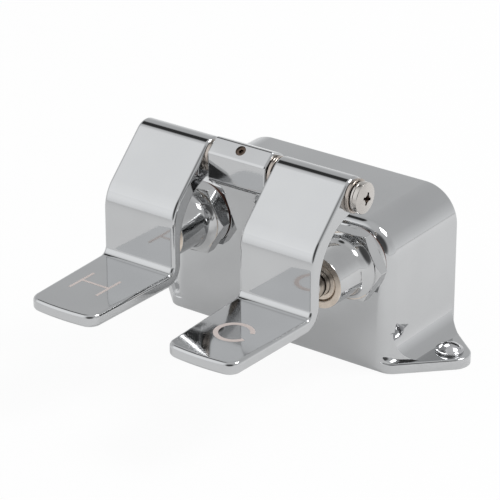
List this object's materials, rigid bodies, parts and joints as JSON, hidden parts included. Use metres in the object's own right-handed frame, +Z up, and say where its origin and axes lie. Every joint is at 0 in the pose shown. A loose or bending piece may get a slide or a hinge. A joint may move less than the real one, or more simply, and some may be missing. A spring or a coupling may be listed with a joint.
{
  "type": "foot pedal tap valve",
  "caption": "Floor-standing hot and cold tap valve: two hinged foot pedals push spring-closed plungers in a cast, chromed hood with an ear on each side.",
  "frame": {"origin": "on the floor, at the middle of the part's outline seen from above", "axes": "+X towards the cold side, -Y towards the foot, +Z up"},
  "size_m": [0.172, 0.169, 0.1074],
  "materials": {
    "chrome_cast": "polished chrome plate on cast brass",
    "chrome_turned": "polished chrome plate on turned brass",
    "chrome_screw": "polished chrome plate",
    "nickel": "warm nickel plate",
    "brass": "plain machined brass",
    "bronze": "plain machined bronze",
    "steel": "plain stainless steel",
    "fibre": "pressed fibre, dark",
    "packing": "matt white packing",
    "rubber": "matt black rubber"
  },
  "bodies": {
    "base": {"housing": "chrome_cast", "mixing_tee": "brass", "hinge_bracket": "chrome_cast", "bracket_screws": "steel", "hinge_pin": "steel", "pin_set_screw": "steel", "floor_screws": "chrome_screw", "hinge_screw": "nickel", "hinge_washer": "nickel", "hot_valve_barrel": "brass", "hot_bonnet": "chrome_turned", "hot_bonnet_gasket": "fibre", "hot_packing_nut": "brass", "hot_packing": "packing", "hot_seat": "brass", "hot_spring": "steel", "cold_valve_barrel": "brass", "cold_bonnet": "chrome_turned", "cold_bonnet_gasket": "fibre", "cold_packing_nut": "brass", "cold_packing": "packing", "cold_seat": "brass", "cold_spring": "steel"},
    "hot_pivot": {"hot_pedal_bushes": "bronze"},
    "hot_pedal": {"hot_pedal": "chrome_cast"},
    "hot_plunger": {"hot_stem": "chrome_turned", "hot_poppet": "brass", "hot_seat_washer": "rubber"},
    "cold_pivot": {"cold_pedal_bushes": "bronze"},
    "cold_pedal": {"cold_pedal": "chrome_cast"},
    "cold_plunger": {"cold_stem": "chrome_turned", "cold_poppet": "brass", "cold_seat_washer": "rubber"}
  },
  "joints": [
    {"name": "hot_press", "type": "hinge", "parent": "base", "child": "hot_pivot", "pos_m": [0, 0.003, 0.097], "axis": [1, 0, 0], "range_deg": [0, 6.4]},
    {"name": "hot_lift", "type": "hinge", "parent": "hot_pivot", "child": "hot_pedal", "pos_m": [0, 0.003, 0.097], "axis": [1, 0, 0], "range_deg": [-90, 0]},
    {"name": "hot_valve", "type": "slide", "parent": "base", "child": "hot_plunger", "axis": [0, 1, 0], "range_m": [0, 0.00486], "stiffness_N_per_m": 3000, "springref_m": -0.007, "deforming": ["hot_spring"]},
    {"name": "cold_press", "type": "hinge", "parent": "base", "child": "cold_pivot", "pos_m": [0, 0.003, 0.097], "axis": [1, 0, 0], "range_deg": [0, 6.4]},
    {"name": "cold_lift", "type": "hinge", "parent": "cold_pivot", "child": "cold_pedal", "pos_m": [0, 0.003, 0.097], "axis": [1, 0, 0], "range_deg": [-90, 0]},
    {"name": "cold_valve", "type": "slide", "parent": "base", "child": "cold_plunger", "axis": [0, 1, 0], "range_m": [0, 0.00486], "stiffness_N_per_m": 3000, "springref_m": -0.007, "deforming": ["cold_spring"]}
  ],
  "couplings": [
    {"joint": "hot_valve", "follows": "hot_press", "m_per_rad": 0.0435},
    {"joint": "cold_valve", "follows": "cold_press", "m_per_rad": 0.0435}
  ]
}
